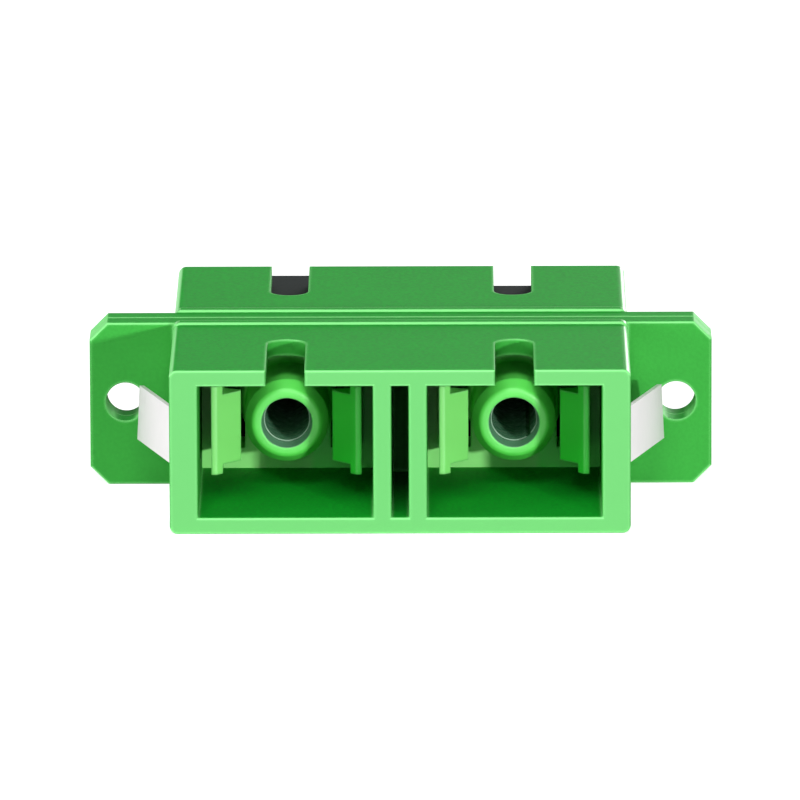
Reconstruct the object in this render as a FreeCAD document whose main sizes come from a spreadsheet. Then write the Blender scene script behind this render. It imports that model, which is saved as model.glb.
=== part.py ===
import FreeCAD, Part
import math
import os

import Sketcher

# SC duplex fibre adapter with a screw flange, in millimetres.
# Two equal shells meet back to back on a seam in the middle of the flange.
# Each port holds a latch, and a split sleeve lines up the two ferrules of a channel.
# +Z is the keyway side, +Y runs from the panel side to the rear, +X to the right.
# The origin is the middle of the screw pattern on the front face of the flange.

SIZES = (
    ("body_width", 25.55, "port block, across both ports"),
    ("body_height", 9.3, "port block and flange, floor to keyway side"),
    ("axis_rise", 0.1, "optical axis above the middle of the height"),
    ("shell_depth", 12.5, "flange face to port face"),
    ("edge_radius", 0.45, "long outer edges of the port block"),
    ("mouth_radius", 0.12, "edges of the port face and of the ears"),
    ("flange_width", 35.0, "flange, tip to tip"),
    ("flange_half", 1.35, "flange thickness in one shell"),
    ("flange_chamfer", 1.0, "cut corners of the flange"),
    ("screw_inset", 2.0, "screw hole from the tip of the flange"),
    ("screw_hole", 2.2, "screw hole diameter"),
    ("seam_chamfer", 0.1, "edges of the flange along the seam"),
    ("collar_proud", 0.14, "collar above the top of the block"),
    ("collar_depth", 0.65, "collar in front of the flange"),
    ("port_pitch", 12.7, "between the two optical axes"),
    ("port_width", 9.7, "port opening"),
    ("port_height", 7.45, "port opening"),
    ("keyway_width", 2.15, "keyway slot in the top wall"),
    ("keyway_length", 8.0, "keyway slot, face to rounded end"),
    ("coring_width", 0.95, "slot between the ports"),
    ("coring_depth", 11.5, "slot between the ports"),
    ("dowel_size", 1.2, "dowel diameter on the seam"),
    ("dowel_reach", 0.8, "dowel length"),
    ("dowel_step", 0.25, "dowel beyond the side of the block"),
    ("dowel_height", 3.1, "dowels above and below the optical axis"),
    ("dowel_gap", 0.05, "socket larger and deeper than its dowel"),
    ("plate_ledge", 0.36, "latch plate beyond the port opening"),
    ("plate_thick", 1.4, "latch plate"),
    ("plate_gap", 0.05, "round the latch plate in its seat"),
    ("arm_room", 0.66, "port wall to the outer face of a latch arm"),
    ("arm_thick", 0.63, "latch arm"),
    ("arm_height", 5.04, "latch arm"),
    ("arm_setback", 5.0, "port face to the tips of the arms"),
    ("arm_nose", 0.3, "flat end of an arm outside its ramp"),
    ("hook_reach", 1.0, "hook beyond the inner face of the arm"),
    ("hook_height", 4.0, "hook"),
    ("hook_land", 0.35, "flat crest of the hook"),
    ("hook_back", 0.25, "slope behind the crest"),
    ("window_gap", 0.14, "moulding window round the hook"),
    ("tube_size", 4.7, "sleeve tube, outside"),
    ("tube_setback", 6.95, "port face to the front of the sleeve tube"),
    ("tube_nose", 3.8, "front face of the sleeve tube"),
    ("nose_radius", 0.3, "rounded edge of the front face"),
    ("tube_taper", 0.8, "length of the taper behind the front face"),
    ("tube_root", 0.35, "fillet at the foot of the sleeve tube"),
    ("lip_size", 2.6, "opening in the retaining lip"),
    ("lip_lead", 0.12, "lead-in round the opening of the lip"),
    ("lip_thick", 1.15, "retaining lip"),
    ("sleeve_size", 3.2, "split sleeve, outside"),
    ("sleeve_bore", 2.5, "split sleeve, ferrule bore"),
    ("sleeve_slit", 0.3, "slit along the split sleeve"),
    ("sleeve_gap", 0.05, "round the split sleeve and at its ends"),
    ("strip_thick", 0.25, "steel strip of the mounting clip"),
    ("strip_sink", 0.05, "clip below the surface of the block"),
    ("strip_width", 8.4, "clip, along the block"),
    ("strip_gap", 0.15, "ends of the clip to the ends of its seat"),
    ("strip_drop", 1.15, "tops of the clip arms below the top of the block"),
    ("strip_bend", 0.35, "inside radius of the clip corners"),
    ("tab_height", 3.2, "spring tab"),
    ("tab_length", 6.4, "spring tab along the block, long edge"),
    ("tab_slant", 0.5, "spring tab, long edge beyond the short edge"),
    ("tab_flare", 2.02, "tab tip beyond the side of the block"),
    ("tab_margin", 0.75, "tab root from the front edge of the clip"),
    ("tab_relief", 0.15, "slot round the tab in the clip arm"),
    ("cap_gap", 0.14, "dust cap plug to the walls of the port"),
    ("cap_length", 11.8, "dust cap plug"),
    ("cap_arm_gap", 0.16, "side walls of the plug to the latch arms"),
    ("cap_deck", 0.5, "top and bottom walls of the plug"),
    ("cap_end", 0.9, "closed end of the plug"),
    ("cap_corner", 0.6, "rounded corners of the plug"),
    ("cap_rib", 0.07, "crush ribs above the plug"),
    ("cap_rib_width", 0.5, "crush ribs"),
    ("cap_rib_spread", 5.6, "between the crush ribs"),
    ("cap_lead", 1.0, "plain nose of the plug before the ribs"),
    ("cap_stop", 0.1, "seated plug to the latch plate"),
    ("left_drawn", 2.9, "left cap drawn back from its seat"),
    ("grip_size", 3.2, "pull grip, diameter"),
    ("grip_neck", 2.3, "pull grip, neck"),
    ("grip_length", 2.8, "pull grip"),
    ("grip_head", 1.1, "head of the pull grip"),
)


class Size:
    """A length that keeps both its value and the sheet expression it comes from."""

    def __init__(self, value, text):
        self.value = value
        self.text = text

    def __float__(self):
        return self.value

    def __neg__(self):
        return Size(-self.value, f"-({self.text})")

    def __add__(self, other):
        return Size(self.value + float(other), f"({self.text} + {wording(other)})")

    def __sub__(self, other):
        return Size(self.value - float(other), f"({self.text} - {wording(other)})")

    def __mul__(self, other):
        return Size(self.value * float(other), f"({self.text} * {wording(other)})")

    def __truediv__(self, other):
        return Size(self.value / float(other), f"({self.text} / {wording(other)})")


def wording(size):
    """The text of a size or of a plain number, as an expression has it."""
    return size.text if isinstance(size, Size) else str(size)


doc = FreeCAD.newDocument("sc_duplex_adapter")
sheet = doc.addObject("Spreadsheet::Sheet", "sizes")
given = {}
for line, (alias, number, meaning) in enumerate(SIZES, 1):
    sheet.set(f"A{line}", alias)
    sheet.set(f"B{line}", str(number))
    sheet.set(f"C{line}", meaning)
    sheet.setAlias(f"B{line}", alias)
    given[alias] = Size(float(number), f"sizes.{alias}")
doc.recompute()


def bind(thing, path, size):
    """Drive one property or constraint of an object by an expression of the sheet."""
    thing.setExpression(path, wording(size))


def origin_plane(body, role):
    """The plane of a body's own origin with this role."""
    return next(item for item in body.Origin.OriginFeatures if item.Role == role)


def new_body(name):
    """A body with its own label."""
    body = doc.addObject("PartDesign::Body", name)
    body.Label = name
    return body


def new_sketch(body, name, role, offset=None):
    """A sketch on an origin plane of its body, moved along its normal by offset."""
    sketch = body.newObject("Sketcher::SketchObject", name)
    sketch.AttachmentSupport = (origin_plane(body, role), [""])
    sketch.MapMode = "FlatFace"
    if offset is not None:
        bind(sketch, "AttachmentOffset.Base.z", offset)
    return sketch


def hold(sketch, shape, point, across=None, up=None):
    """Hold a point of the sketch at its distances from the sketch's origin."""
    for kind, axis, size in (("DistanceX", -2, across), ("DistanceY", -1, up)):
        if size is None:
            continue
        if isinstance(size, Size):
            rule = Sketcher.Constraint(kind, -1, 1, shape, point, float(size))
            bind(sketch, f"Constraints[{sketch.addConstraint(rule)}]", size)
        else:
            sketch.addConstraint(Sketcher.Constraint("PointOnObject", shape, point, axis))


def spot(across, up):
    """A point of a sketch from two sizes."""
    return FreeCAD.Vector(float(across), float(up), 0)


def outline(sketch, corners):
    """A closed outline of straight lines. A corner at 0 lies on that axis."""
    first = None
    for here, there in zip(corners, corners[1:] + corners[:1]):
        shape = sketch.addGeometry(Part.LineSegment(spot(*here), spot(*there)))
        first = shape if first is None else first
        if shape > first:
            sketch.addConstraint(Sketcher.Constraint("Coincident", shape - 1, 2, shape, 1))
        hold(sketch, shape, 1, *here)
    sketch.addConstraint(Sketcher.Constraint("Coincident", shape, 2, first, 1))


def rectangle(sketch, left, bottom, right, top):
    """A rectangle between four sizes."""
    outline(sketch, [(left, bottom), (right, bottom), (right, top), (left, top)])


def circle(sketch, across, up, diameter):
    """A circle about a point of the sketch."""
    form = Part.Circle(spot(across, up), FreeCAD.Vector(0, 0, 1), float(diameter) / 2)
    shape = sketch.addGeometry(form)
    hold(sketch, shape, 3, across, up)
    rule = Sketcher.Constraint("Diameter", shape, float(diameter))
    bind(sketch, f"Constraints[{sketch.addConstraint(rule)}]", diameter)


def slot(sketch, left, right, mouth, centre):
    """A slot that runs from its mouth to a round end about a centre height."""
    middle = (left + right) / 2
    radius = (float(right) - float(left)) / 2
    rising = sketch.addGeometry(Part.LineSegment(spot(left, mouth), spot(left, centre)))
    round_end = Part.Circle(spot(middle, centre), FreeCAD.Vector(0, 0, 1), radius)
    cap = sketch.addGeometry(Part.ArcOfCircle(round_end, 0, math.pi))
    falling = sketch.addGeometry(Part.LineSegment(spot(right, centre), spot(right, mouth)))
    base = sketch.addGeometry(Part.LineSegment(spot(right, mouth), spot(left, mouth)))
    for one, end, other, start in (
        (rising, 2, cap, 2), (cap, 1, falling, 1), (falling, 2, base, 1), (base, 2, rising, 1),
    ):
        sketch.addConstraint(Sketcher.Constraint("Coincident", one, end, other, start))
    hold(sketch, rising, 1, left, mouth)
    hold(sketch, rising, 2, left, centre)
    hold(sketch, falling, 1, right, centre)
    hold(sketch, falling, 2, right, mouth)
    hold(sketch, cap, 3, None, centre)


def volume_of(body):
    """The volume of a body so far."""
    doc.recompute()
    return 0.0 if body.Shape.isNull() else body.Shape.Volume


def checked(body, before, feature, grows):
    """Stop where a feature failed to add or to remove material."""
    after = volume_of(body)
    change = after - before if grows else before - after
    if change <= 0:
        raise RuntimeError(f"{feature.Name} changes the volume of {body.Label} by {change}")
    return feature


def extrude(body, kind, sketch, length, turned=False, centred=False):
    """Pad or Pocket a sketch by a length. A Pocket goes against the sketch's normal."""
    before = volume_of(body)
    feature = body.newObject(f"PartDesign::{kind}", sketch.Name.replace("_sketch", ""))
    feature.Profile = sketch
    feature.Reversed = turned
    if centred:
        feature.SideType = "Symmetric"
    bind(feature, "Length", length)
    return checked(body, before, feature, kind == "Pad")


def revolve(body, kind, sketch):
    """Revolution or Groove of a sketch about its vertical axis."""
    before = volume_of(body)
    feature = body.newObject(f"PartDesign::{kind}", sketch.Name.replace("_sketch", ""))
    feature.Profile = sketch
    feature.ReferenceAxis = (sketch, ["V_Axis"])
    feature.Angle = 360
    return checked(body, before, feature, kind == "Revolution")


def mirror(body, name, features):
    """Repeat features on the other side of the body's YZ plane."""
    copy = body.newObject("PartDesign::Mirrored", name)
    copy.MirrorPlane = (origin_plane(body, "YZ_Plane"), [""])
    copy.Originals = features
    body.Tip = copy
    doc.recompute()
    return copy


def near(one, other):
    """Whether two lengths agree."""
    return abs(float(one) - float(other)) < 1e-4


def dress_edges(body, kind, name, size, test):
    """Fillet or Chamfer the edges of a body's last feature that pass a test."""
    doc.recompute()
    names = []
    for number, edge in enumerate(body.Tip.Shape.Edges, 1):
        if test(edge):
            names.append(f"Edge{number}")
    if not names:
        raise RuntimeError(f"{name} finds no edge on {body.Label}")
    base = body.Tip
    feature = body.newObject(f"PartDesign::{kind}", name)
    feature.Base = (base, names)
    bind(feature, "Radius" if kind == "Fillet" else "Size", size)
    doc.recompute()
    if "Invalid" in feature.State or "Error" in feature.State:
        raise RuntimeError(f"{name} fails on {names} of {body.Label}")
    return feature


def ends(edge):
    """The first and last corner of an edge."""
    return edge.firstVertex().Point, edge.lastVertex().Point


def at_depth(edge, depth):
    """Whether both ends of an edge lie in the plane y = depth."""
    return all(near(corner.y, depth) for corner in ends(edge))


def along_y(edge):
    """Whether an edge is a straight run along Y."""
    start, end = ends(edge)
    return near(start.x, end.x) and near(start.z, end.z) and not near(start.y, end.y)


def beside(edge, across, up):
    """Whether an edge starts at these distances, on either side of the middle."""
    start = ends(edge)[0]
    return near(abs(start.x), across) and near(start.z, up)


# Sizes that follow from the driving ones.
# In a shell's own frame the seam is y = 0 and its port faces -Y.
g = given
half = 0.5
block_side = g["body_width"] * half
block_top = g["body_height"] * half - g["axis_rise"]
block_floor = -(g["body_height"] * half + g["axis_rise"])
shell_length = g["shell_depth"] + g["flange_half"]
flange_tip = g["flange_width"] * half
screw_offset = flange_tip - g["screw_inset"]
dowel_offset = block_side + g["dowel_step"]
channel = g["port_pitch"] * half
port_top = g["port_height"] * half - g["axis_rise"]
port_floor = -(g["port_height"] * half + g["axis_rise"])
plate_side = g["port_width"] * half + g["plate_ledge"]
plate_rise = g["port_height"] * half + g["plate_ledge"]
arm_side = g["port_width"] * half - g["arm_room"]
strip_top = block_top - g["strip_drop"]
seat_depth = g["strip_thick"] + g["strip_sink"]
seat_rear = g["flange_half"] + g["collar_depth"]
seat_length = g["strip_width"] + g["strip_gap"] * 2


def port_block(body):
    """The block round both ports, the collar before the flange, and half the flange."""
    sketch = new_sketch(body, "block_sketch", "XZ_Plane")
    rectangle(sketch, -block_side, block_floor, block_side, block_top)
    extrude(body, "Pad", sketch, shell_length)
    dress_edges(body, "Fillet", "block_edges", g["edge_radius"], along_y)

    sketch = new_sketch(body, "collar_sketch", "XZ_Plane", g["flange_half"])
    side = block_side
    top = block_top + g["collar_proud"]
    rectangle(sketch, -side, port_top, side, top)
    extrude(body, "Pad", sketch, g["collar_depth"])

    def collar_edge(edge):
        return along_y(edge) and beside(edge, side, top)

    dress_edges(body, "Fillet", "collar_edges", g["edge_radius"], collar_edge)

    sketch = new_sketch(body, "flange_sketch", "XZ_Plane")
    cut = g["flange_chamfer"]
    outline(sketch, [
        (-flange_tip, block_floor + cut), (-flange_tip + cut, block_floor),
        (flange_tip - cut, block_floor), (flange_tip, block_floor + cut),
        (flange_tip, block_top - cut), (flange_tip - cut, block_top),
        (-flange_tip + cut, block_top), (-flange_tip, block_top - cut),
    ])
    extrude(body, "Pad", sketch, g["flange_half"])

    def on_seam(edge):
        return at_depth(edge, 0)

    dress_edges(body, "Chamfer", "seam_edges", g["seam_chamfer"], on_seam)

    def on_ear(edge):
        start, end = ends(edge)
        beyond = abs(start.x + end.x) > float(block_side) * 2 and not near(start.x, end.x)
        at_tip = near(abs(start.x), flange_tip) and near(start.x, end.x)
        under = near(start.z, block_floor) and near(end.z, block_floor)
        return at_depth(edge, -g["flange_half"]) and (beyond or at_tip) and not under

    dress_edges(body, "Fillet", "ear_edges", g["mouth_radius"], on_ear)


def port_cuts(body):
    """The port, its latch seat, keyway and screw hole, on both sides."""
    left = channel - g["port_width"] * half
    right = channel + g["port_width"] * half
    sketch = new_sketch(body, "port_sketch", "XZ_Plane")
    rectangle(sketch, left, port_floor, right, port_top)
    port = extrude(body, "Pocket", sketch, shell_length, turned=True)

    seat_side = plate_side + g["plate_gap"]
    seat_rise = plate_rise + g["plate_gap"]
    sketch = new_sketch(body, "seat_sketch", "XZ_Plane")
    rectangle(sketch, channel - seat_side, -seat_rise - g["axis_rise"],
              channel + seat_side, seat_rise - g["axis_rise"])
    seat = extrude(body, "Pocket", sketch, g["plate_thick"], turned=True)

    radius = g["keyway_width"] * half
    sketch = new_sketch(body, "keyway_sketch", "XY_Plane")
    slot(sketch, channel - radius, channel + radius,
         -shell_length, -shell_length + g["keyway_length"] - radius)
    keyway = extrude(body, "Pocket", sketch, block_top, turned=True)

    sketch = new_sketch(body, "screw_sketch", "XZ_Plane")
    circle(sketch, screw_offset, 0, g["screw_hole"])
    screw = extrude(body, "Pocket", sketch, g["flange_half"], turned=True)
    mirror(body, "both_ports", [port, seat, keyway, screw])


def coring_slot(body):
    """The blind slot that keeps the wall between the ports thin."""
    sketch = new_sketch(body, "coring_sketch", "XZ_Plane", shell_length)
    side = g["coring_width"] * half
    rectangle(sketch, -side, port_floor, side, port_top)
    extrude(body, "Pocket", sketch, g["coring_depth"])


def clip_seat(body):
    """The sunk band for the mounting clip, under the block and up both sides."""
    sketch = new_sketch(body, "clip_seat_sketch", "XZ_Plane", seat_rear)
    inner = block_side - seat_depth
    outer = block_side + seat_depth
    floor = block_floor + seat_depth
    below = block_floor - seat_depth
    top = strip_top + g["strip_gap"]
    outline(sketch, [
        (-outer, top), (-outer, below), (outer, below), (outer, top),
        (inner, top), (inner, floor), (-inner, floor), (-inner, top),
    ])
    extrude(body, "Pocket", sketch, seat_length, turned=True)

    def seat_corner(edge):
        return along_y(edge) and beside(edge, inner, floor)

    corner = g["strip_bend"] + g["strip_gap"]
    dress_edges(body, "Fillet", "clip_seat_corners", corner, seat_corner)


def seam_dowels(body):
    """Dowels on one half of the seam and their sockets on the other."""
    sketch = new_sketch(body, "dowel_sketch", "XZ_Plane")
    circle(sketch, dowel_offset, g["dowel_height"], g["dowel_size"])
    circle(sketch, dowel_offset, -g["dowel_height"], g["dowel_size"])
    extrude(body, "Pad", sketch, g["dowel_reach"], turned=True)

    sketch = new_sketch(body, "socket_sketch", "XZ_Plane")
    socket_size = g["dowel_size"] + g["dowel_gap"] * 2
    circle(sketch, -dowel_offset, g["dowel_height"], socket_size)
    circle(sketch, -dowel_offset, -g["dowel_height"], socket_size)
    extrude(body, "Pocket", sketch, g["dowel_reach"] + g["dowel_gap"], turned=True)


def housing_shell(name, turn):
    """One shell. Both come from one mould and are turned back to back."""
    body = new_body(name)
    port_block(body)
    port_cuts(body)
    coring_slot(body)
    clip_seat(body)
    seam_dowels(body)

    def port_face(edge):
        return at_depth(edge, -shell_length)

    dress_edges(body, "Fillet", "mouth_edges", g["mouth_radius"], port_face)
    stand(body, 0, g["flange_half"], 0, turn)
    return body


def stand(body, across, along, up, turn=0, axis=(0, 0, 1)):
    """Place a body, turned by an angle about an axis through its own origin."""
    rotation = FreeCAD.Rotation(FreeCAD.Vector(*axis), turn)
    body.Placement = FreeCAD.Placement(FreeCAD.Vector(), rotation)
    for letter, size in zip("xyz", (across, along, up)):
        if isinstance(size, Size):
            bind(body, f"Placement.Base.{letter}", size)


def latch_plate(body):
    """The plate that sits in the shell, with the moulding windows behind the hooks."""
    sketch = new_sketch(body, "plate_sketch", "XZ_Plane")
    rectangle(sketch, -plate_side, -plate_rise - g["axis_rise"],
              plate_side, plate_rise - g["axis_rise"])
    extrude(body, "Pad", sketch, g["plate_thick"])


def latch_arm(body):
    """One arm with its ramped hook and the window behind it, on both sides."""
    outer = arm_side
    inner = outer - g["arm_thick"]
    nose = outer - g["arm_nose"]
    crest = inner - g["hook_reach"]
    tip = -(shell_length - g["arm_setback"])
    sketch = new_sketch(body, "arm_sketch", "XY_Plane")
    outline(sketch, [
        (outer, -g["plate_thick"] * half), (outer, tip), (nose, tip),
        (inner, tip + (nose - inner)), (inner, -g["plate_thick"] * half),
    ])
    arm = extrude(body, "Pad", sketch, g["arm_height"], centred=True)

    crest_start = tip + (nose - crest)
    crest_end = crest_start + g["hook_land"]
    sketch = new_sketch(body, "hook_sketch", "XY_Plane")
    outline(sketch, [
        (inner + g["arm_thick"] * half, tip + (nose - inner)), (inner, tip + (nose - inner)),
        (crest, crest_start), (crest, crest_end), (inner, crest_end + g["hook_back"]),
        (inner + g["arm_thick"] * half, crest_end + g["hook_back"]),
    ])
    hook = extrude(body, "Pad", sketch, g["hook_height"], centred=True)

    rise = g["arm_height"] * half + g["window_gap"]
    sketch = new_sketch(body, "window_sketch", "XZ_Plane")
    rectangle(sketch, crest - g["window_gap"], -rise, inner, rise)
    window = extrude(body, "Pocket", sketch, g["plate_thick"], turned=True)
    mirror(body, "both_arms", [arm, hook, window])


def sleeve_tube(body):
    """The tube that holds half of the split sleeve behind a retaining lip."""
    radius = g["tube_size"] * half
    front = -(shell_length - g["tube_setback"])
    sketch = new_sketch(body, "tube_sketch", "XY_Plane")
    outline(sketch, [
        (0, -g["plate_thick"] * half), (radius, -g["plate_thick"] * half),
        (radius, front + g["tube_taper"]), (g["tube_nose"] * half, front), (0, front),
    ])
    revolve(body, "Revolution", sketch)

    def tube_foot(edge):
        return at_depth(edge, -g["plate_thick"]) and isinstance(edge.Curve, Part.Circle)

    dress_edges(body, "Fillet", "tube_foot", g["tube_root"], tube_foot)

    def nose_rim(edge):
        return at_depth(edge, front) and isinstance(edge.Curve, Part.Circle)

    dress_edges(body, "Fillet", "nose_rim", g["nose_radius"], nose_rim)

    bore = g["sleeve_size"] * half + g["sleeve_gap"]
    lip = g["lip_size"] * half
    sketch = new_sketch(body, "bore_sketch", "XY_Plane")
    outline(sketch, [
        (0, g["plate_thick"]), (bore, g["plate_thick"]),
        (bore, front + g["lip_thick"]), (lip, front + g["lip_thick"]),
        (lip + g["lip_lead"], front), (lip + g["lip_lead"], front - g["lip_thick"]),
        (0, front - g["lip_thick"]),
    ])
    revolve(body, "Groove", sketch)


def latch(name, across, turn):
    """The one-piece latch of one port: plate, two hooked arms and sleeve tube."""
    body = new_body(name)
    latch_plate(body)
    sleeve_tube(body)
    latch_arm(body)
    stand(body, across, g["flange_half"], 0, turn)
    return body


def split_sleeve(name, across, turn):
    """The slit ceramic sleeve that spans the seam of one channel."""
    body = new_body(name)
    end = shell_length - g["tube_setback"] - g["lip_thick"] - g["sleeve_gap"]
    sketch = new_sketch(body, "wall_sketch", "XY_Plane")
    rectangle(sketch, g["sleeve_bore"] * half, -end, g["sleeve_size"] * half, end)
    revolve(body, "Revolution", sketch)

    sketch = new_sketch(body, "slit_sketch", "XZ_Plane")
    side = g["sleeve_slit"] * half
    rectangle(sketch, -side, 0, side, g["sleeve_size"])
    extrude(body, "Pocket", sketch, end * 4, centred=True)
    stand(body, across, g["flange_half"], 0, turn, (0, 1, 0))
    return body


def mounting_clip(name):
    """The spring steel clip: one strip under the block with a flared tab on each side."""
    body = new_body(name)
    rear = seat_rear + g["strip_gap"]
    outer = block_side - g["strip_sink"]
    inner = outer - g["strip_thick"]
    below = block_floor + g["strip_sink"]
    floor = below + g["strip_thick"]
    sketch = new_sketch(body, "strip_sketch", "XZ_Plane", rear)
    outline(sketch, [
        (-outer, strip_top), (-outer, below), (outer, below), (outer, strip_top),
        (inner, strip_top), (inner, floor), (-inner, floor), (-inner, strip_top),
    ])
    extrude(body, "Pad", sketch, g["strip_width"])

    def inside_corner(edge):
        return along_y(edge) and beside(edge, inner, floor)

    def outside_corner(edge):
        return along_y(edge) and beside(edge, outer, below)

    outside = g["strip_bend"] + g["strip_thick"]
    dress_edges(body, "Fillet", "inside_bends", g["strip_bend"], inside_corner)
    dress_edges(body, "Fillet", "outside_bends", outside, outside_corner)

    front = -(rear + g["strip_width"])
    root = front + g["tab_margin"]
    tip = root + g["tab_length"]
    top = g["tab_height"] * half - g["axis_rise"]
    bottom = top - g["tab_height"]
    relief = g["tab_relief"]
    sketch = new_sketch(body, "relief_sketch", "YZ_Plane", inner - g["strip_thick"])
    rectangle(sketch, root, bottom - relief, tip + relief, top + relief)
    opening = extrude(body, "Pocket", sketch, g["strip_thick"] * 3, turned=True)

    spread = block_side + g["tab_flare"]
    sketch = new_sketch(body, "tab_sketch", "XY_Plane", -g["axis_rise"])
    outline(sketch, [
        (inner, root - g["strip_thick"]), (outer, root - g["strip_thick"]),
        (outer, root), (spread, tip), (spread - g["strip_thick"], tip), (inner, root),
    ])
    tab = extrude(body, "Pad", sketch, g["tab_height"], centred=True)

    sketch = new_sketch(body, "slant_sketch", "YZ_Plane", outer)
    outline(sketch, [
        (tip, bottom), (tip + relief, bottom), (tip + relief, top), (tip - g["tab_slant"], top),
    ])
    slant = extrude(body, "Pocket", sketch, g["tab_flare"] * 2, turned=True)
    mirror(body, "both_tabs", [opening, tab, slant])
    stand(body, 0, g["flange_half"], 0)
    return body


def cap_plug(body):
    """The hollow plug with its crush ribs, open towards the latch."""
    side = g["port_width"] * half - g["cap_gap"]
    rise = g["port_height"] * half - g["cap_gap"]
    sketch = new_sketch(body, "plug_sketch", "XZ_Plane")
    rectangle(sketch, -side, -rise, side, rise)
    extrude(body, "Pad", sketch, g["cap_length"])
    dress_edges(body, "Fillet", "plug_edges", g["cap_corner"], along_y)

    mid = g["cap_rib_spread"] * half
    wide = g["cap_rib_width"] * half
    sketch = new_sketch(body, "rib_sketch", "XZ_Plane", g["cap_end"])
    top = rise + g["cap_rib"]
    rectangle(sketch, mid - wide, -top, mid + wide, top)
    ribs = extrude(body, "Pad", sketch, g["cap_length"] - g["cap_end"] - g["cap_lead"])
    mirror(body, "both_ribs", [ribs])

    sketch = new_sketch(body, "hollow_sketch", "XZ_Plane", g["cap_end"])
    hollow_side = arm_side + g["cap_arm_gap"]
    hollow_rise = rise - g["cap_deck"]
    rectangle(sketch, -hollow_side, -hollow_rise, hollow_side, hollow_rise)
    extrude(body, "Pocket", sketch, g["cap_length"], turned=True)


def cap_grip(body):
    """The headed stud that the cap is pulled by."""
    neck = g["grip_neck"] * half
    head = g["grip_size"] * half
    reach = g["grip_length"]
    start = reach - g["grip_head"]
    sketch = new_sketch(body, "grip_sketch", "XY_Plane")
    outline(sketch, [
        (0, -g["cap_end"] * half), (neck, -g["cap_end"] * half), (neck, start),
        (head, start + (head - neck)), (head, reach), (0, reach),
    ])
    revolve(body, "Revolution", sketch)


def dust_cap(name, across, drawn):
    """A soft cap in a rear port, drawn back from its seat by a length."""
    body = new_body(name)
    cap_plug(body)
    cap_grip(body)
    seated = g["flange_half"] + g["plate_thick"] + g["cap_stop"] + g["cap_length"]
    stand(body, across, seated + drawn if drawn else seated, -g["axis_rise"])
    return body


housing_shell("front_housing", 0)
housing_shell("rear_housing", 180)
for side_name, place, slit_turn in (("left", -channel, -4), ("right", channel, 140)):
    latch(f"{side_name}_front_latch", place, 0)
    latch(f"{side_name}_rear_latch", place, 180)
    split_sleeve(f"{side_name}_split_sleeve", place, slit_turn)
mounting_clip("mounting_clip")
dust_cap("left_dust_cap", -channel, g["left_drawn"])
dust_cap("right_dust_cap", channel, None)

doc.recompute()
for item in doc.Objects:
    if "Invalid" in item.State or "Error" in item.State:
        raise RuntimeError(f"{item.Name} did not compute: {item.State}")

os.makedirs("parts", exist_ok=True)
pieces = [item for item in doc.Objects if item.isDerivedFrom("PartDesign::Body")]
for piece in pieces:
    if piece.Shape.isNull() or not piece.Shape.isValid():
        raise RuntimeError(f"{piece.Label} has no valid shape")
for piece in pieces:
    piece.Shape.exportStep(f"parts/{piece.Label}.step")
    print(piece.Label, len(piece.Shape.Solids), round(piece.Shape.Volume, 2), piece.Shape.BoundBox)
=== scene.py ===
"""Looks of a green duplex fibre adapter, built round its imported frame."""

import math

import bmesh
import bpy
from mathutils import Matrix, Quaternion, Vector


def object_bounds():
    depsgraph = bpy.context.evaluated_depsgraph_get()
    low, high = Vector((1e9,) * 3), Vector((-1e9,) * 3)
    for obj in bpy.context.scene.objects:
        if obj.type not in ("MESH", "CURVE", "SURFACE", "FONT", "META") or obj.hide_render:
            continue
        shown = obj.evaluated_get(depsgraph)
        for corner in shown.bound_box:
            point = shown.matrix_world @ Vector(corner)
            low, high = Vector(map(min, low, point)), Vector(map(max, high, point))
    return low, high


bl_info = {
    "name": "Duplex fibre adapter",
    "version": (1, 0, 0),
    "blender": (4, 5, 0),
    "location": "3D View > Sidebar > Adapter",
    "description": "Builds the looks of a duplex fibre adapter round its packed frame",
    "category": "Object",
}

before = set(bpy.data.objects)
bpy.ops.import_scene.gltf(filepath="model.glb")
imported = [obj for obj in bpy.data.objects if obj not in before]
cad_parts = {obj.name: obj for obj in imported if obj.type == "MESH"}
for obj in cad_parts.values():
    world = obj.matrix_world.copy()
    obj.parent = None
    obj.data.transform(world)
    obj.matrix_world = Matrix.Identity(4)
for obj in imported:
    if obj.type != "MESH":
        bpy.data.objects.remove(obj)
CAD_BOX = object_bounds()
MM = 0.001

HOUSINGS = ("front_housing", "rear_housing")
LATCHES = ("left_front_latch", "left_rear_latch", "right_front_latch", "right_rear_latch")
SLEEVES = ("left_split_sleeve", "right_split_sleeve")
CAPS = ("left_dust_cap", "right_dust_cap")
CLIPS = ("mounting_clip",)

# Places in the frame, which the finishes use to tell one face from another.
SEAM = 1.35 * MM  # where the housings meet, along Y
PORT_FACE = 13.85 * MM  # from the seam to the port faces
SLEEVE_END = 5.7 * MM  # from the seam to the ends of the sleeves
BLOCK_SIDE = 12.9 * MM  # from the middle to just outside the block
COLLAR_MIDDLE = 4.62 * MM  # height of the middle of the raised collar's wall
COLLAR_HALF = 0.07 * MM  # half the height of that wall
CHANNEL = 6.35 * MM  # from the middle to the axis of each channel
LIP_RADIUS = 1.42 * MM  # lead-in of the lip before the sleeve
TUBE_RADIUS = 2.35 * MM  # tube round the sleeve
SIDE_START = 1.1 * MM  # from a channel's axis to where the painted light and painted shade of its latch's sides start
SIDE_FULL = 1.6 * MM  # from a channel's axis to where that painted light and shade are at full strength

# Sizes of the patterns that a user has no need to change.
CLOUD = 5 * MM  # broad shading of the housings
FLOW = 1.2 * MM  # flow marks of the latches
GRINDING = 0.4 * MM  # grinding marks of the sleeves
STAIN = 2.5 * MM  # stains of the steel

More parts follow.
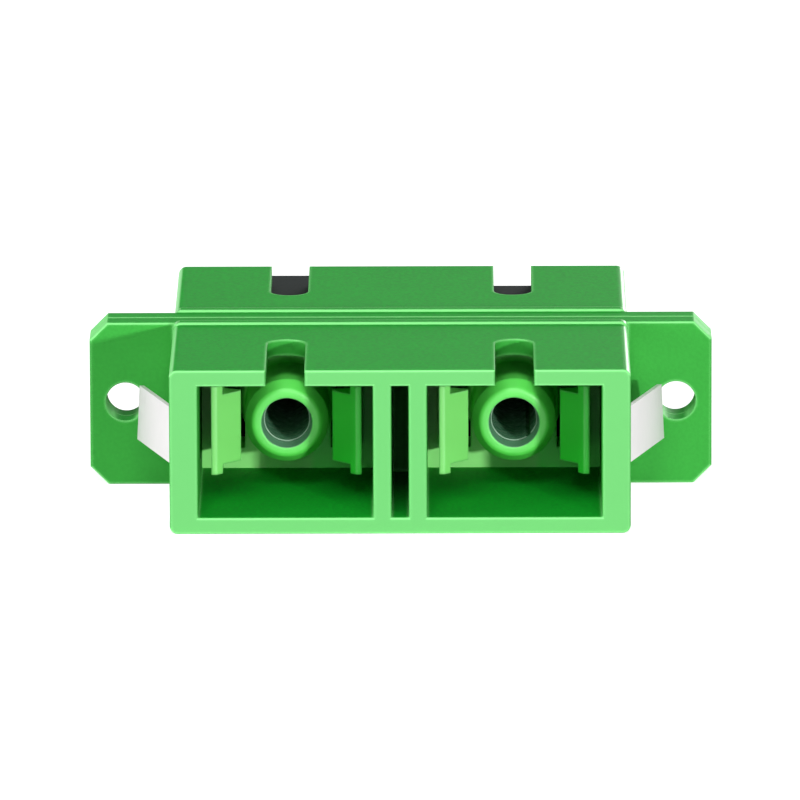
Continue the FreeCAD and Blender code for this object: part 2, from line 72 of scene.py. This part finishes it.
# Each lamp, named as its power in the stage's values, with its size in metres and where it
# stands: degrees to the right of the front, and degrees up.
LAMPS = (
    ("key", 0.028, 27.8, 6.5),
    ("front", 0.3, 0, 16),
    ("top", 0.3, -3, 50),
    ("fill", 0.3, -70, 6),
    ("rim", 0.3, 158, 10),
)
LAMP_DISTANCE = 0.7
FLOOR_REACH = 1.5  # from the middle of the floor to its sides, in metres
EDGE_SAMPLES = 6
WHITE = (1, 1, 1, 1)


def length(name, description, default):
    """A length that a user may change, in metres."""
    return bpy.props.FloatProperty(
        name=name, description=description, default=default, min=0, unit="LENGTH", precision=6
    )


def share(name, description, default):
    """A share from 0 to 1 that a user may change."""
    return bpy.props.FloatProperty(
        name=name, description=description, default=default, min=0, max=1, subtype="FACTOR"
    )


def colour(name, description, default):
    """A colour that a user may change."""
    return bpy.props.FloatVectorProperty(
        name=name, description=description, default=default, min=0, max=1, size=3, subtype="COLOR"
    )


def power(name, description, default):
    """A lamp's power that a user may change, in watts."""
    return bpy.props.FloatProperty(
        name=name, description=description, default=default, min=0, unit="POWER"
    )


def angle(name, description, default):
    """An angle that a user may change, given here in degrees."""
    return bpy.props.FloatProperty(
        name=name, description=description, default=math.radians(default), unit="ROTATION"
    )


class AdapterPlastic(bpy.types.PropertyGroup):
    """The moulded plastic of the housings and latches."""

    body: colour("Body colour", "Green of the housing walls and ears", (0.036, 0.325, 0.042))
    # The top colour is painted shade: the level faces, the tops and the port floors, are painted a
    # deeper green.
    top: colour("Top colour", "Deeper green of the textured tops and floors", (0.005, 0.31, 0.02))
    # The end face colour is painted light: the port faces and the collar's front wall are painted
    # paler.
    face: colour("End face colour", "Paler green of the polished port faces", (0.135, 0.49, 0.142))
    # The edge colour is a painted highlight on the edges and on the sloped faces.
    edge: colour("Edge colour", "Green where thin edges catch the light", (0.26, 0.82, 0.27))
    latch: colour("Latch colour", "Green of the smooth latch", (0.10, 0.70, 0.085))
    # The left and right arm colours are painted light and painted shade: each latch's left side is
    # painted paler and its right side deeper.
    painted_lit_arm: colour("Left arm colour", "Paler green of a latch's left side", (0.23, 0.77, 0.175))
    painted_shaded_arm: colour("Right arm colour", "Deeper green of its right side", (0.03, 0.77, 0.045))
    grain: length("Grain", "Size of the moulded texture", 0.2 * MM)
    roughness: share("Roughness", "Roughness of the textured faces", 0.58)


class AdapterSleeve(bpy.types.PropertyGroup):
    """The ceramic of the split sleeves."""

    # Both ceramic colours are painted shade: the ceramic is painted the dark grey-green it shows
    # deep in its tube, a little paler at the ground ends.
    body: colour("Ceramic colour", "Colour of the ceramic deep in its tube", (0.13, 0.34, 0.19))
    rim: colour("Rim colour", "Colour of the ground ends", (0.26, 0.42, 0.30))
    roughness: share("Roughness", "Roughness of the ground bore", 0.22)


class AdapterClip(bpy.types.PropertyGroup):
    """The steel of the mounting clip."""

    body: colour("Steel colour", "Colour of the bare spring steel", (0.80, 0.765, 0.785))
    brush: length("Brush marks", "Spacing of the rolling marks", 0.05 * MM)
    roughness: share("Roughness", "Roughness of the rolled strip", 0.4)


class AdapterCap(bpy.types.PropertyGroup):
    """The soft plastic of the dust caps."""

    body: colour("Cap colour", "Colour of the soft plastic", (0.006, 0.011, 0.010))
    grain: length("Grain", "Size of the moulded texture", 0.25 * MM)
    roughness: share("Roughness", "Roughness of the soft plastic", 0.65)


class AdapterEdges(bpy.types.PropertyGroup):
    """How far the edges of each piece are rounded."""

    housing: length("Housing", "Rounding of the housing edges", 0.15 * MM)
    latch: length("Latch", "Rounding of the latch edges", 0.22 * MM)
    sleeve: length("Sleeve", "Rounding of the sleeve edges", 0.05 * MM)
    clip: length("Clip", "Rounding of the sheared steel edges", 0.03 * MM)
    cap: length("Cap", "Rounding of the cap edges", 0.12 * MM)


class AdapterStage(bpy.types.PropertyGroup):
    """The floor, the lamps and the camera."""

    floor: colour("Floor colour", "Colour of the floor", (0.62, 0.62, 0.62))
    sky: share("Sky", "Strength of the even light all round", 0.14)
    key: power("Key lamp", "Power of the lamp at the front right", 3.3)
    front: power("Front lamp", "Power of the lamp in front of the ports", 0.55)
    top: power("Top lamp", "Power of the lamp above the front", 2.3)
    fill: power("Fill lamp", "Power of the lamp at the left", 4.8)
    rim: power("Rim lamp", "Power of the lamp behind the right end", 2.6)
    distance: length("Camera distance", "From the port face to the camera", 0.7)
    lens: bpy.props.FloatProperty(
        name="Lens", description="Focal length of the camera", default=569.25, unit="CAMERA"
    )
    rise: angle("Camera rise", "Angle of the camera above the floor", 12.855)
    side: angle("Camera side", "Angle of the camera to the right", 0.248)
    roll: angle("Camera roll", "Turn of the camera about its view", -0.203)
    lift: angle("Camera lift", "Upward tilt that sets the object below the middle", 0.236)


def settings(name):
    """The values of one group, as the scene holds them."""
    return getattr(bpy.context.scene, name)


def toned(base, strength):
    """A colour made darker or lighter."""
    return tuple(min(1, strength * part) for part in base)


class Number:
    """A number that varies over a surface. Arithmetic on it adds Math nodes."""

    def __init__(self, finish, socket):
        self.finish = finish
        self.socket = socket

    def maths(self, operation, *values):
        """The result of one Math node."""
        sockets = dict(enumerate(values))
        node = self.finish.add("ShaderNodeMath", {"operation": operation}, sockets)
        return Number(self.finish, node.outputs[0])

    def __add__(self, other):
        return self.maths("ADD", self, other)

    def __sub__(self, other):
        return self.maths("SUBTRACT", self, other)

    def __rsub__(self, other):
        return self.maths("SUBTRACT", other, self)

    def __mul__(self, other):
        return self.maths("MULTIPLY", self, other)

    __radd__ = __add__
    __rmul__ = __mul__

    def absolute(self):
        """The number without its sign."""
        return self.maths("ABSOLUTE", self)

    def larger(self, other):
        """The larger of two numbers."""
        return self.maths("MAXIMUM", self, other)

    def span(self, low, high, first=0.0, last=1.0):
        """The number's place between low and high, eased, as a number from first to last."""
        node = self.finish.add(
            "ShaderNodeMapRange",
            {"interpolation_type": "SMOOTHSTEP", "clamp": True},
            {"Value": self, "From Min": low, "From Max": high, "To Min": first, "To Max": last},
        )
        return Number(self.finish, node.outputs[0])

    def under(self, low, high):
        """1 where the number is under low, easing to 0 at high."""
        return self.span(low, high, 1.0, 0.0)


class Finish:
    """The node tree of a material or a world."""

    def __init__(self, owner):
        self.owner = owner
        owner.use_nodes = True
        self.tree = owner.node_tree
        self.tree.nodes.clear()

    def add(self, kind, options=None, sockets=None):
        """Adds a node, sets its options, then fills or links its sockets."""
        node = self.tree.nodes.new(kind)
        for key, value in (options or {}).items():
            setattr(node, key, value)
        for key, value in (sockets or {}).items():
            socket = node.inputs[key]
            if isinstance(value, Number):
                value = value.socket
            if isinstance(value, bpy.types.NodeSocket):
                self.tree.links.new(value, socket)
            else:
                socket.default_value = value
        return node

    def place(self):
        """The point on the object, in metres."""
        return self.add("ShaderNodeTexCoord").outputs["Object"]

    def axis(self, name):
        """One coordinate of the point on the object."""
        node = self.add("ShaderNodeSeparateXYZ", None, {"Vector": self.place()})
        return Number(self, node.outputs[name])

    def stretched(self, x, y, z):
        """The point on the object, scaled along each axis."""
        node = self.add("ShaderNodeMapping", None, {"Vector": self.place(), "Scale": (x, y, z)})
        return node.outputs["Vector"]

    def level(self):
        """How level a surface is, from 0 for a wall to 1 for a floor or a top."""
        straight = self.add("ShaderNodeTexCoord").outputs["Normal"]
        parts = self.add("ShaderNodeSeparateXYZ", None, {"Vector": straight})
        return Number(self, parts.outputs["Z"]).absolute()

    def noise(self, size, detail=2.0, place=None):
        """Even noise whose blotches have that size in metres."""
        sockets = {"Vector": place or self.place(), "Scale": 1 / size, "Detail": detail}
        node = self.add("ShaderNodeTexNoise", None, sockets)
        return Number(self, node.outputs["Fac"])

    def rounded(self, radius):
        """The surface's normal, turned near an edge as if the edge had that radius."""
        node = self.add("ShaderNodeBevel", {"samples": EDGE_SAMPLES}, {"Radius": radius})
        return node.outputs["Normal"]

    def edges(self, radius):
        """1 on the edges, easing to 0 about that far from them."""
        straight = self.add("ShaderNodeNewGeometry").outputs["Normal"]
        normals = {0: self.rounded(radius), 1: straight}
        turn = self.add("ShaderNodeVectorMath", {"operation": "DOT_PRODUCT"}, normals)
        return (1 - Number(self, turn.outputs["Value"])).span(0.0, 0.16)

    def mixed(self, factor, first, second):
        """A colour between two colours."""
        node = self.add("ShaderNodeMix", {"data_type": "RGBA"}, {"Factor": factor})
        for key, value in (("A", first), ("B", second)):
            socket = [s for s in node.inputs if s.name == key and s.type == "RGBA"][0]
            if isinstance(value, bpy.types.NodeSocket):
                self.tree.links.new(value, socket)
            else:
                socket.default_value = (*value, 1)
        return [s for s in node.outputs if s.type == "RGBA"][0]

    def bump(self, normal, height, distance, strength):
        """A normal raised by a height from 0 to 1 over that distance in metres."""
        sockets = {"Height": height, "Distance": distance, "Strength": strength, "Normal": normal}
        return self.add("ShaderNodeBump", None, sockets).outputs["Normal"]

    def seen(self):
        """1 where the camera sees a point, also in a reflection, and 0 for light that it sheds."""
        path = self.add("ShaderNodeLightPath").outputs
        camera = Number(self, path["Is Camera Ray"])
        gloss = Number(self, path["Is Glossy Ray"])
        through = Number(self, path["Is Transmission Ray"])
        return camera.larger(gloss).larger(through)

    def between(self, factor, first, second):
        """A shader that is the first where the factor is 0 and the second where it is 1."""
        shaders = {0: factor, 1: first.outputs[0], 2: second.outputs[0]}
        return self.add("ShaderNodeMixShader", None, shaders)

    def wearing(self, shader, kind="ShaderNodeOutputMaterial"):
        """The material or world, with that shader on it."""
        self.add(kind, None, {"Surface": shader.outputs[0]})
        return self.owner

    def surface(self, sockets):
        """The material, with those values on a Principled shader."""
        return self.wearing(self.add("ShaderNodeBsdfPrincipled", None, sockets))


def new_finish(name):
    """The empty finish of a new material."""
    return Finish(bpy.data.materials.new(name))


def moulded_green(name, rounding, relief):
    """Green plastic with a fine moulded texture, painted shade on its level faces, painted light
    on its end faces and collar wall, and painted highlights along its edges and slopes.
    """
    chosen = settings("adapter_plastic")
    finish = new_finish(name)
    grain = finish.noise(chosen.grain, 3.0)
    cloud = finish.noise(CLOUD)
    along = (finish.axis("Y") - SEAM).absolute()
    end = along.span(PORT_FACE - 0.05 * MM, PORT_FACE - 0.01 * MM)
    from_collar = (finish.axis("Z") - COLLAR_MIDDLE).absolute()
    collar = from_collar.under(COLLAR_HALF - 0.015 * MM, COLLAR_HALF - 0.005 * MM)
    block = finish.axis("X").absolute().under(BLOCK_SIDE, BLOCK_SIDE + 0.1 * MM)
    level = finish.level()
    tops = level.span(0.5, 0.9)
    slope = (level - level * level).span(0.05, 0.18)
    contrast = 0.15 + 0.35 * tops
    tint = (grain.span(0.3, 0.7) - 0.5) * contrast + 0.25 * cloud + 0.375
    # Level faces take the deeper top colour, which is painted shade.
    walls, level_faces = (
        finish.mixed(tint, toned(green, 0.74), toned(green, 1.26))
        for green in (chosen.body, chosen.top)
    )
    body = finish.mixed(tops, walls, level_faces)
    # The port faces and the collar's wall are painted paler here: painted light.
    skin = finish.mixed(end.larger(collar), body, chosen.face)
    # Edges and sloped faces, such as the chamfers of the ears, are painted paler: painted
    # highlights.
    painted_highlights = (finish.edges(2 * rounding) * 0.65).larger(slope * 0.75)
    polish = end.larger(slope * block)
    return finish.surface({
        "Base Color": finish.mixed(painted_highlights, skin, chosen.edge),
        "Roughness": chosen.roughness + 0.1 * grain - polish * 0.3,
        "Specular IOR Level": 0.08,
        "Normal": finish.bump(finish.rounded(rounding), grain, relief, 0.5),
    })


def latch_green(name, rounding, relief):
    """Smooth green plastic with painted light on its left side, painted shade on its right side
    and inside its lip, and painted highlights along its edges.
    """
    chosen = settings("adapter_plastic")
    finish = new_finish(name)
    flow = finish.noise(FLOW)
    side = finish.axis("X")
    across = side.absolute() - CHANNEL
    rise = finish.axis("Z")
    squared = across * across + rise * rise
    # The inside of the lip is painted in the sleeve's dark colour: painted shade.
    bore = squared.under((LIP_RADIUS - 0.005 * MM) ** 2, (LIP_RADIUS + 0.02 * MM) ** 2)
    outside = squared.span((TUBE_RADIUS + 0.03 * MM) ** 2, (TUBE_RADIUS + 0.1 * MM) ** 2)
    to_right = across * side.span(-1 * MM, 1 * MM, -1.0, 1.0)
    # Painted light on each latch's left side and painted shade on its right side.
    left = outside * to_right.under(-SIDE_FULL, -SIDE_START)
    right = outside * to_right.span(SIDE_START, SIDE_FULL)
    body = finish.mixed(flow, toned(chosen.latch, 0.9), toned(chosen.latch, 1.08))
    body = finish.mixed(left, body, chosen.painted_lit_arm)
    body = finish.mixed(right, body, chosen.painted_shaded_arm)
    # Edges are painted paler: painted highlights.
    painted_highlights = finish.mixed(finish.edges(rounding) * 0.5, body, chosen.edge)
    return finish.surface({
        "Base Color": finish.mixed(bore, painted_highlights, settings("adapter_sleeve").body),
        "Roughness": 0.42 + 0.08 * flow,
        "Specular IOR Level": 0.9,
        "Normal": finish.bump(finish.rounded(rounding), flow, relief, 0.4),
    })


def fired_ceramic(name, rounding, relief):
    """Ceramic with faint grinding marks round the bore, painted the dark grey-green of a shaded
    bore, with paler ground ends.
    """
    chosen = settings("adapter_sleeve")
    finish = new_finish(name)
    marks = finish.noise(GRINDING, place=finish.stretched(1, 8, 1))
    along = (finish.axis("Y") - SEAM).absolute()
    end = along.span(SLEEVE_END - 0.08 * MM, SLEEVE_END - 0.01 * MM)
    # The dark grey-green body colour is painted shade of the bore.
    body = finish.mixed(marks, toned(chosen.body, 0.9), chosen.body)
    return finish.surface({
        "Base Color": finish.mixed(end, body, chosen.rim),
        "Roughness": chosen.roughness + 0.1 * marks,
        "Normal": finish.bump(finish.rounded(rounding), marks, relief, 0.4),
    })


def rolled_steel(name, rounding, relief):
    """Bare spring steel with rolling marks along the strip and duller sheared edges."""
    chosen = settings("adapter_clip")
    finish = new_finish(name)
    marks = finish.noise(chosen.brush, 3.0, finish.stretched(0.05, 1, 0.05))
    stain = finish.noise(STAIN, 3.0)
    plain = finish.mixed(0.4 * stain + 0.6 * marks, toned(chosen.body, 0.84), chosen.body)
    return finish.surface({
        "Base Color": finish.mixed(finish.edges(rounding) * 0.5, plain, toned(chosen.body, 0.8)),
        "Metallic": 1.0,
        "Roughness": chosen.roughness + 0.15 * marks,
        "Normal": finish.bump(finish.rounded(rounding), marks, relief, 0.4),
    })


def soft_black(name, rounding, relief):
    """Black soft plastic with a dull moulded skin and paler edges."""
    chosen = settings("adapter_cap")
    finish = new_finish(name)
    grain = finish.noise(chosen.grain, 3.0)
    body = finish.mixed(grain, toned(chosen.body, 0.8), chosen.body)
    return finish.surface({
        "Base Color": finish.mixed(finish.edges(rounding) * 0.5, body, toned(chosen.body, 2.2)),
        "Roughness": chosen.roughness + 0.12 * grain,
        "Specular IOR Level": 0.05,
        "Normal": finish.bump(finish.rounded(rounding), grain, relief, 0.5),
    })


def dress(nodes, finish):
    """Gives CAD nodes their finish."""
    for node in nodes:
        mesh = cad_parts[node].data
        mesh.materials.clear()
        mesh.materials.append(finish)


class OBJECT_OT_adapter_housings(bpy.types.Operator):
    """Round the edges of both housings and give them the green plastic"""

    bl_idname = "object.adapter_housings"
    bl_label = "Housings"

    def execute(self, context):
        rounding = settings("adapter_edges").housing
        dress(HOUSINGS, moulded_green("green_plastic", rounding, relief=0.014 * MM))
        return {"FINISHED"}


class OBJECT_OT_adapter_latches(bpy.types.Operator):
    """Round the edges of the four latches and give them the green plastic"""

    bl_idname = "object.adapter_latches"
    bl_label = "Latches"

    def execute(self, context):
        rounding = settings("adapter_edges").latch
        dress(LATCHES, latch_green("green_latch_plastic", rounding, relief=0.006 * MM))
        return {"FINISHED"}


class OBJECT_OT_adapter_sleeves(bpy.types.Operator):
    """Round the edges of the split sleeves and give them the ceramic"""

    bl_idname = "object.adapter_sleeves"
    bl_label = "Sleeves"

    def execute(self, context):
        rounding = settings("adapter_edges").sleeve
        dress(SLEEVES, fired_ceramic("zirconia", rounding, relief=0.002 * MM))
        return {"FINISHED"}


class OBJECT_OT_adapter_clip(bpy.types.Operator):
    """Round the edges of the mounting clip and give it the steel"""

    bl_idname = "object.adapter_clip"
    bl_label = "Clip"

    def execute(self, context):
        rounding = settings("adapter_edges").clip
        dress(CLIPS, rolled_steel("spring_steel", rounding, relief=0.003 * MM))
        return {"FINISHED"}


class OBJECT_OT_adapter_caps(bpy.types.Operator):
    """Round the edges of the dust caps and give them the soft black plastic"""

    bl_idname = "object.adapter_caps"
    bl_label = "Dust caps"

    def execute(self, context):
        rounding = settings("adapter_edges").cap
        dress(CAPS, soft_black("soft_black", rounding, relief=0.015 * MM))
        return {"FINISHED"}


def pale_floor(chosen, level):
    """A pale floor that glows where it is seen, so that it shows white and keeps the shadow."""
    bm = bmesh.new()
    bmesh.ops.create_grid(bm, x_segments=1, y_segments=1, size=FLOOR_REACH)
    bmesh.ops.translate(bm, verts=bm.verts, vec=(0, 0, level))
    mesh = bpy.data.meshes.new("floor")
    bm.to_mesh(mesh)
    bm.free()
    finish = new_finish("floor")
    matt = finish.add("ShaderNodeBsdfDiffuse", None, {"Color": (*chosen.floor, 1)})
    glow = finish.add("ShaderNodeEmission", None, {"Color": WHITE, "Strength": 0.8})
    both = finish.add("ShaderNodeAddShader", None, {0: matt.outputs[0], 1: glow.outputs[0]})
    mesh.materials.append(finish.wearing(finish.between(finish.seen(), matt, both)))
    floor = bpy.data.objects.new("floor", mesh)
    bpy.context.scene.collection.objects.link(floor)


def open_sky(strength):
    """Even light all round, white where the camera sees it."""
    sky = Finish(bpy.data.worlds.new("studio"))
    dim = sky.add("ShaderNodeBackground", None, {"Color": WHITE, "Strength": strength})
    white = sky.add("ShaderNodeBackground", None, {"Color": WHITE, "Strength": 1})
    both = sky.between(sky.seen(), dim, white)
    bpy.context.scene.world = sky.wearing(both, "ShaderNodeOutputWorld")


def direction(side, rise):
    """The way from the object to a point at those angles to the right and up."""
    flat = math.cos(rise)
    return Vector((math.sin(side) * flat, -math.cos(side) * flat, math.sin(rise)))


def placed(name, data, location, turn):
    """A lamp or a camera, put in the scene."""
    thing = bpy.data.objects.new(name, data)
    thing.location = location
    thing.rotation_mode = "QUATERNION"
    thing.rotation_quaternion = turn
    bpy.context.scene.collection.objects.link(thing)
    return thing


def lamp(name, watts, size, side, rise):
    """A soft square lamp, at those angles in degrees to the right and up."""
    data = bpy.data.lights.new(name, "AREA")
    data.energy = watts
    data.size = size
    away = direction(math.radians(side), math.radians(rise))
    placed(name, data, LAMP_DISTANCE * away, away.to_track_quat("Z", "Y"))


def main_camera(chosen):
    """A long lens in front of the ports, a little above them."""
    data = bpy.data.cameras.new("camera")
    data.lens = chosen.lens
    data.sensor_width = 36
    data.clip_start = 0.01
    data.clip_end = 10
    back = direction(chosen.side, chosen.rise)
    middle_of_face = Vector((0, SEAM - PORT_FACE, -0.1 * MM))
    roll = Quaternion((0, 0, 1), chosen.roll)
    lift = Quaternion((1, 0, 0), chosen.lift)
    turn = back.to_track_quat("Z", "Y") @ roll @ lift
    location = middle_of_face + chosen.distance * back
    bpy.context.scene.camera = placed("camera", data, location, turn)


class OBJECT_OT_adapter_stage(bpy.types.Operator):
    """Set the floor, the lamps and the camera"""

    bl_idname = "object.adapter_stage"
    bl_label = "Stage"

    def execute(self, context):
        chosen = settings("adapter_stage")
        just_below = CAD_BOX[0].z - 0.01 * MM
        pale_floor(chosen, just_below)
        open_sky(chosen.sky)
        for name, size, side, rise in LAMPS:
            lamp(f"{name}_lamp", getattr(chosen, name), size, side, rise)
        main_camera(chosen)
        context.scene.view_settings.view_transform = "Standard"
        return {"FINISHED"}


class VIEW3D_PT_adapter(bpy.types.Panel):
    """Buttons and values of the adapter"""

    bl_label = "Fibre adapter"
    bl_space_type = "VIEW_3D"
    bl_region_type = "UI"
    bl_category = "Adapter"

    def draw(self, context):
        layout = self.layout
        for group, _ in GROUPS:
            chosen = settings(group)
            box = layout.box()
            for key in chosen.bl_rna.properties.keys():
                if key not in ("rna_type", "name"):
                    box.prop(chosen, key)
        for operator in STEPS:
            layout.operator(operator.bl_idname)


GROUPS = (
    ("adapter_plastic", AdapterPlastic),
    ("adapter_sleeve", AdapterSleeve),
    ("adapter_clip", AdapterClip),
    ("adapter_cap", AdapterCap),
    ("adapter_edges", AdapterEdges),
    ("adapter_stage", AdapterStage),
)
STEPS = (
    OBJECT_OT_adapter_housings,
    OBJECT_OT_adapter_latches,
    OBJECT_OT_adapter_sleeves,
    OBJECT_OT_adapter_clip,
    OBJECT_OT_adapter_caps,
    OBJECT_OT_adapter_stage,
)


def register():
    for name, group in GROUPS:
        bpy.utils.register_class(group)
        setattr(bpy.types.Scene, name, bpy.props.PointerProperty(type=group))
    for step in STEPS:
        bpy.utils.register_class(step)
    bpy.utils.register_class(VIEW3D_PT_adapter)


def unregister():
    bpy.utils.unregister_class(VIEW3D_PT_adapter)
    for step in reversed(STEPS):
        bpy.utils.unregister_class(step)
    for name, group in reversed(GROUPS):
        delattr(bpy.types.Scene, name)
        bpy.utils.unregister_class(group)


def main():
    """Builds every piece's looks and the stage."""
    register()
    bpy.ops.object.adapter_housings()
    bpy.ops.object.adapter_latches()
    bpy.ops.object.adapter_sleeves()
    bpy.ops.object.adapter_clip()
    bpy.ops.object.adapter_caps()
    bpy.ops.object.adapter_stage()


if __name__ == "__main__":
    main()
